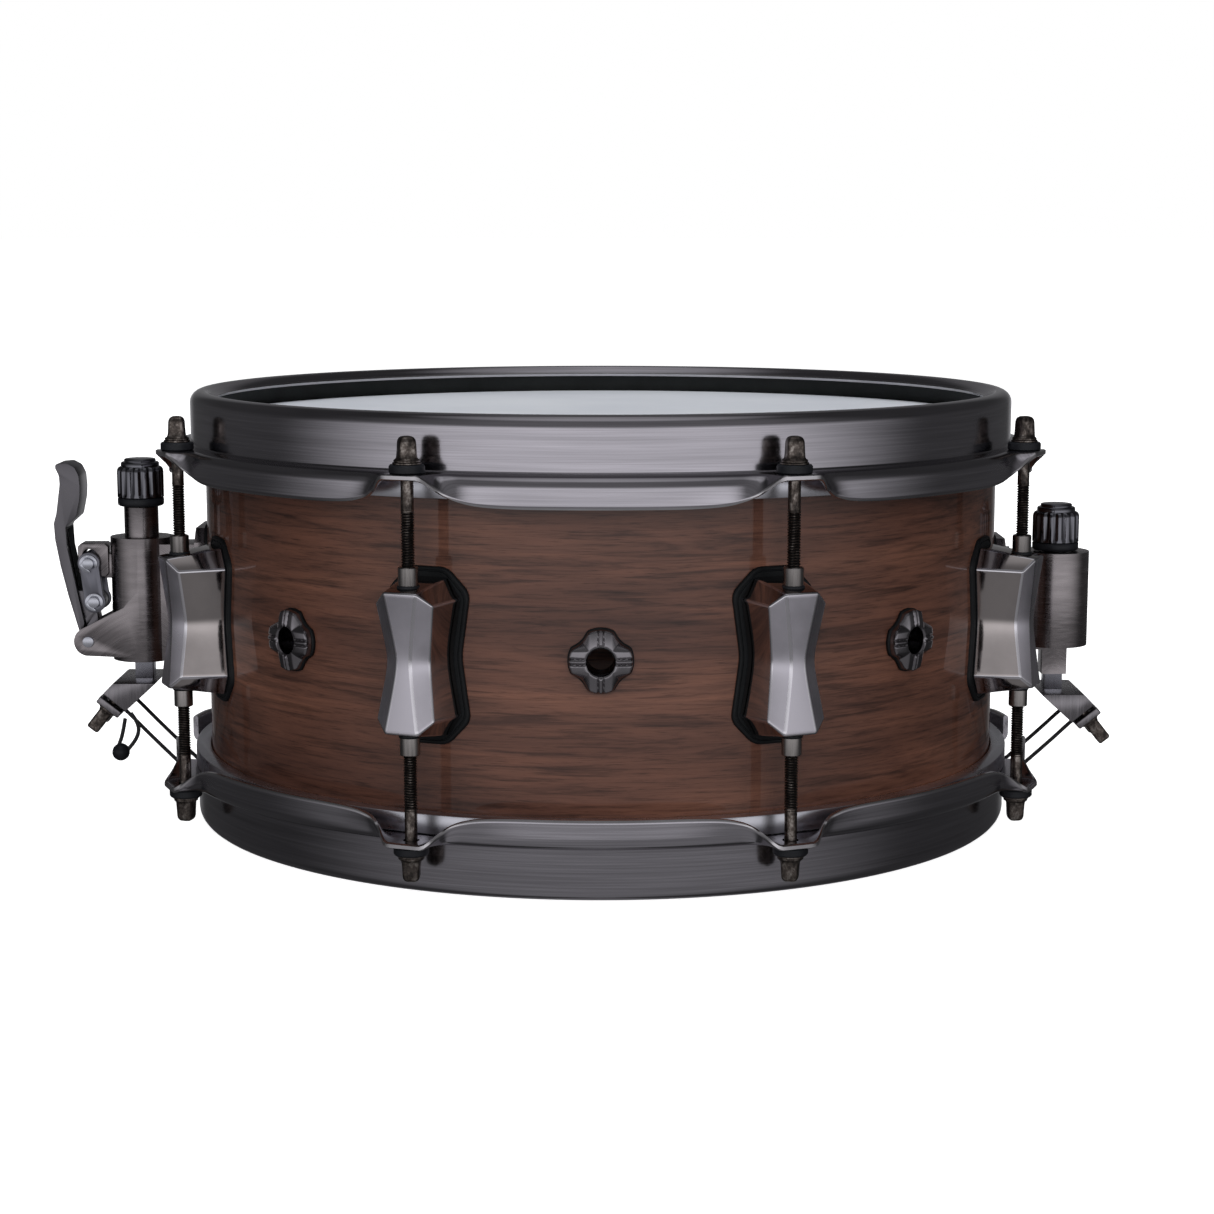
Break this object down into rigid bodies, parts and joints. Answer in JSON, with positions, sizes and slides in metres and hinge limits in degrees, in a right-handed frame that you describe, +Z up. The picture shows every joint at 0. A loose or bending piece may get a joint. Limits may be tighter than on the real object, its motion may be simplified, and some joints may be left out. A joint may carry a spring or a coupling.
{
  "type": "snare drum",
  "caption": "Fourteen-inch wooden snare drum with pressed hoops, hourglass lugs, a lever strainer, a butt plate and wire snares under the lower head.",
  "frame": {"origin": "on the drum's axis, in the plane of the lower rim that the drum rests on", "axes": "+Z up along the drum's axis, -X towards the strainer, +X towards the butt plate, -Y the front"},
  "size_m": [0.4784, 0.386, 0.191],
  "materials": {
    "walnut": "gloss lacquered walnut, grain running around the drum",
    "coated_film": "white coated polyester film",
    "clear_film": "thin hazy polyester film",
    "aluminium": "rolled aluminium",
    "hoop_nickel": "black nickel, brushed around the hoop",
    "lug_nickel": "satin nickel with polished edges",
    "dark_nickel": "brushed black nickel",
    "link_steel": "matt zinc-plated steel",
    "brushed_steel": "turned dark steel",
    "zinc_steel": "bright zinc-plated steel",
    "rod_bronze": "aged black nickel with worn bright spots",
    "knob_chrome": "black chrome",
    "black_nylon": "moulded black nylon",
    "black_rubber": "moulded black rubber",
    "black_cord": "braided black nylon cord"
  },
  "bodies": {
    "drum": {"shell": "walnut", "batter_head": "coated_film", "batter_flesh_hoop": "aluminium", "snare_head": "clear_film", "snare_flesh_hoop": "aluminium", "batter_hoop": "hoop_nickel", "snare_hoop": "hoop_nickel", "lugs": "lug_nickel", "gaskets": "black_rubber", "swivel_nuts": "brushed_steel", "rod_washers": "rod_bronze", "nylon_washers": "black_nylon", "shell_screws": "zinc_steel", "vents": "lug_nickel", "vent_gaskets": "black_rubber", "strainer_housing": "dark_nickel", "strainer_lever_pin": "zinc_steel", "butt_housing": "dark_nickel", "strainer_cords": "black_cord", "butt_cords": "black_cord", "snare_wires": "zinc_steel", "snare_end_plates": "zinc_steel"},
    "upper_rod_1": {"upper_rod_1": "rod_bronze"},
    "lower_rod_1": {"lower_rod_1": "rod_bronze"},
    "upper_rod_2": {"upper_rod_2": "rod_bronze"},
    "lower_rod_2": {"lower_rod_2": "rod_bronze"},
    "upper_rod_3": {"upper_rod_3": "rod_bronze"},
    "lower_rod_3": {"lower_rod_3": "rod_bronze"},
    "upper_rod_4": {"upper_rod_4": "rod_bronze"},
    "lower_rod_4": {"lower_rod_4": "rod_bronze"},
    "upper_rod_5": {"upper_rod_5": "rod_bronze"},
    "lower_rod_5": {"lower_rod_5": "rod_bronze"},
    "upper_rod_6": {"upper_rod_6": "rod_bronze"},
    "lower_rod_6": {"lower_rod_6": "rod_bronze"},
    "upper_rod_7": {"upper_rod_7": "rod_bronze"},
    "lower_rod_7": {"lower_rod_7": "rod_bronze"},
    "upper_rod_8": {"upper_rod_8": "rod_bronze"},
    "lower_rod_8": {"lower_rod_8": "rod_bronze"},
    "lever": {"strainer_lever": "dark_nickel"},
    "links": {"strainer_links": "link_steel", "strainer_link_pins": "zinc_steel"},
    "carriage": {"strainer_clevis": "dark_nickel", "strainer_sleeve": "dark_nickel"},
    "strainer_knob": {"strainer_knob": "knob_chrome", "strainer_knob_ring": "black_nylon"},
    "strainer_post": {"strainer_post": "zinc_steel", "strainer_clamp_block": "dark_nickel", "strainer_clamp_plate": "dark_nickel", "tail_cord": "black_cord", "tail_bead": "black_nylon"},
    "butt_knob": {"butt_knob": "knob_chrome", "butt_knob_ring": "black_nylon"},
    "butt_post": {"butt_post": "zinc_steel", "butt_clamp_block": "dark_nickel", "butt_clamp_plate": "dark_nickel"},
    "strainer_clamp_screw_front": {"strainer_clamp_screw_front": "rod_bronze"},
    "strainer_clamp_screw_back": {"strainer_clamp_screw_back": "rod_bronze"},
    "butt_clamp_screw_front": {"butt_clamp_screw_front": "rod_bronze"},
    "butt_clamp_screw_back": {"butt_clamp_screw_back": "rod_bronze"}
  },
  "joints": [
    {"name": "upper_rod_1_turn", "type": "hinge", "parent": "drum", "child": "upper_rod_1", "pos_m": [0.07436, -0.17951, 0.1781], "axis": [0, 0, 1], "continuous": true},
    {"name": "lower_rod_1_turn", "type": "hinge", "parent": "drum", "child": "lower_rod_1", "pos_m": [0.07436, -0.17951, 0.0129], "axis": [0, 0, 1], "continuous": true},
    {"name": "upper_rod_2_turn", "type": "hinge", "parent": "drum", "child": "upper_rod_2", "pos_m": [0.17951, -0.07436, 0.1781], "axis": [0, 0, 1], "continuous": true},
    {"name": "lower_rod_2_turn", "type": "hinge", "parent": "drum", "child": "lower_rod_2", "pos_m": [0.17951, -0.07436, 0.0129], "axis": [0, 0, 1], "continuous": true},
    {"name": "upper_rod_3_turn", "type": "hinge", "parent": "drum", "child": "upper_rod_3", "pos_m": [0.17951, 0.07436, 0.1781], "axis": [0, 0, 1], "continuous": true},
    {"name": "lower_rod_3_turn", "type": "hinge", "parent": "drum", "child": "lower_rod_3", "pos_m": [0.17951, 0.07436, 0.0129], "axis": [0, 0, 1], "continuous": true},
    {"name": "upper_rod_4_turn", "type": "hinge", "parent": "drum", "child": "upper_rod_4", "pos_m": [0.07436, 0.17951, 0.1781], "axis": [0, 0, 1], "continuous": true},
    {"name": "lower_rod_4_turn", "type": "hinge", "parent": "drum", "child": "lower_rod_4", "pos_m": [0.07436, 0.17951, 0.0129], "axis": [0, 0, 1], "continuous": true},
    {"name": "upper_rod_5_turn", "type": "hinge", "parent": "drum", "child": "upper_rod_5", "pos_m": [-0.07436, 0.17951, 0.1781], "axis": [0, 0, 1], "continuous": true},
    {"name": "lower_rod_5_turn", "type": "hinge", "parent": "drum", "child": "lower_rod_5", "pos_m": [-0.07436, 0.17951, 0.0129], "axis": [0, 0, 1], "continuous": true},
    {"name": "upper_rod_6_turn", "type": "hinge", "parent": "drum", "child": "upper_rod_6", "pos_m": [-0.17951, 0.07436, 0.1781], "axis": [0, 0, 1], "continuous": true},
    {"name": "lower_rod_6_turn", "type": "hinge", "parent": "drum", "child": "lower_rod_6", "pos_m": [-0.17951, 0.07436, 0.0129], "axis": [0, 0, 1], "continuous": true},
    {"name": "upper_rod_7_turn", "type": "hinge", "parent": "drum", "child": "upper_rod_7", "pos_m": [-0.17951, -0.07436, 0.1781], "axis": [0, 0, 1], "continuous": true},
    {"name": "lower_rod_7_turn", "type": "hinge", "parent": "drum", "child": "lower_rod_7", "pos_m": [-0.17951, -0.07436, 0.0129], "axis": [0, 0, 1], "continuous": true},
    {"name": "upper_rod_8_turn", "type": "hinge", "parent": "drum", "child": "upper_rod_8", "pos_m": [-0.07436, -0.17951, 0.1781], "axis": [0, 0, 1], "continuous": true},
    {"name": "lower_rod_8_turn", "type": "hinge", "parent": "drum", "child": "lower_rod_8", "pos_m": [-0.07436, -0.17951, 0.0129], "axis": [0, 0, 1], "continuous": true},
    {"name": "lever_throw", "type": "hinge", "parent": "drum", "child": "lever", "pos_m": [-0.2319, 0, 0.0767], "axis": [0, -1, 0], "range_deg": [0, 50], "deforming": ["strainer_cords"]},
    {"name": "link_swing", "type": "hinge", "parent": "lever", "child": "links", "pos_m": [-0.2299, 0, 0.0939], "axis": [0, -1, 0], "range_deg": [-99, 0]},
    {"name": "carriage_drop", "type": "slide", "parent": "drum", "child": "carriage", "axis": [0, 0, -1], "range_m": [0, 0.00905], "deforming": ["strainer_cords"]},
    {"name": "strainer_knob_turn", "type": "hinge", "parent": "carriage", "child": "strainer_knob", "pos_m": [-0.2088, 0, 0.15], "axis": [0, 0, 1], "range_deg": [-1295, 1839], "deforming": ["strainer_cords"]},
    {"name": "strainer_post_lift", "type": "slide", "parent": "carriage", "child": "strainer_post", "axis": [0, 0, 1], "range_m": [-0.0054, 0.0038], "deforming": ["strainer_cords"]},
    {"name": "butt_knob_turn", "type": "hinge", "parent": "drum", "child": "butt_knob", "pos_m": [0.207, 0, 0.13], "axis": [0, 0, 1], "range_deg": [-1295, 1839], "deforming": ["butt_cords"]},
    {"name": "butt_post_lift", "type": "slide", "parent": "drum", "child": "butt_post", "axis": [0, 0, 1], "range_m": [-0.0054, 0.0038], "deforming": ["butt_cords"]},
    {"name": "strainer_clamp_front_turn", "type": "hinge", "parent": "strainer_post", "child": "strainer_clamp_screw_front", "pos_m": [-0.2204, -0.0125, 0.0502], "axis": [-0.6247, 0, -0.7809], "continuous": true},
    {"name": "strainer_clamp_back_turn", "type": "hinge", "parent": "strainer_post", "child": "strainer_clamp_screw_back", "pos_m": [-0.2204, 0.0125, 0.0502], "axis": [-0.6247, 0, -0.7809], "continuous": true},
    {"name": "butt_clamp_front_turn", "type": "hinge", "parent": "butt_post", "child": "butt_clamp_screw_front", "pos_m": [0.2186, -0.0125, 0.045], "axis": [0.6247, 0, -0.7809], "continuous": true},
    {"name": "butt_clamp_back_turn", "type": "hinge", "parent": "butt_post", "child": "butt_clamp_screw_back", "pos_m": [0.2186, 0.0125, 0.045], "axis": [0.6247, 0, -0.7809], "continuous": true}
  ],
  "couplings": [
    {"joint": "link_swing", "follows": "lever_throw", "ratio": -1.97},
    {"joint": "carriage_drop", "follows": "lever_throw", "m_per_rad": 0.010287},
    {"joint": "strainer_knob_turn", "follows": "strainer_post_lift", "rad_per_m": -5938.7},
    {"joint": "butt_knob_turn", "follows": "butt_post_lift", "rad_per_m": -5938.7}
  ]
}
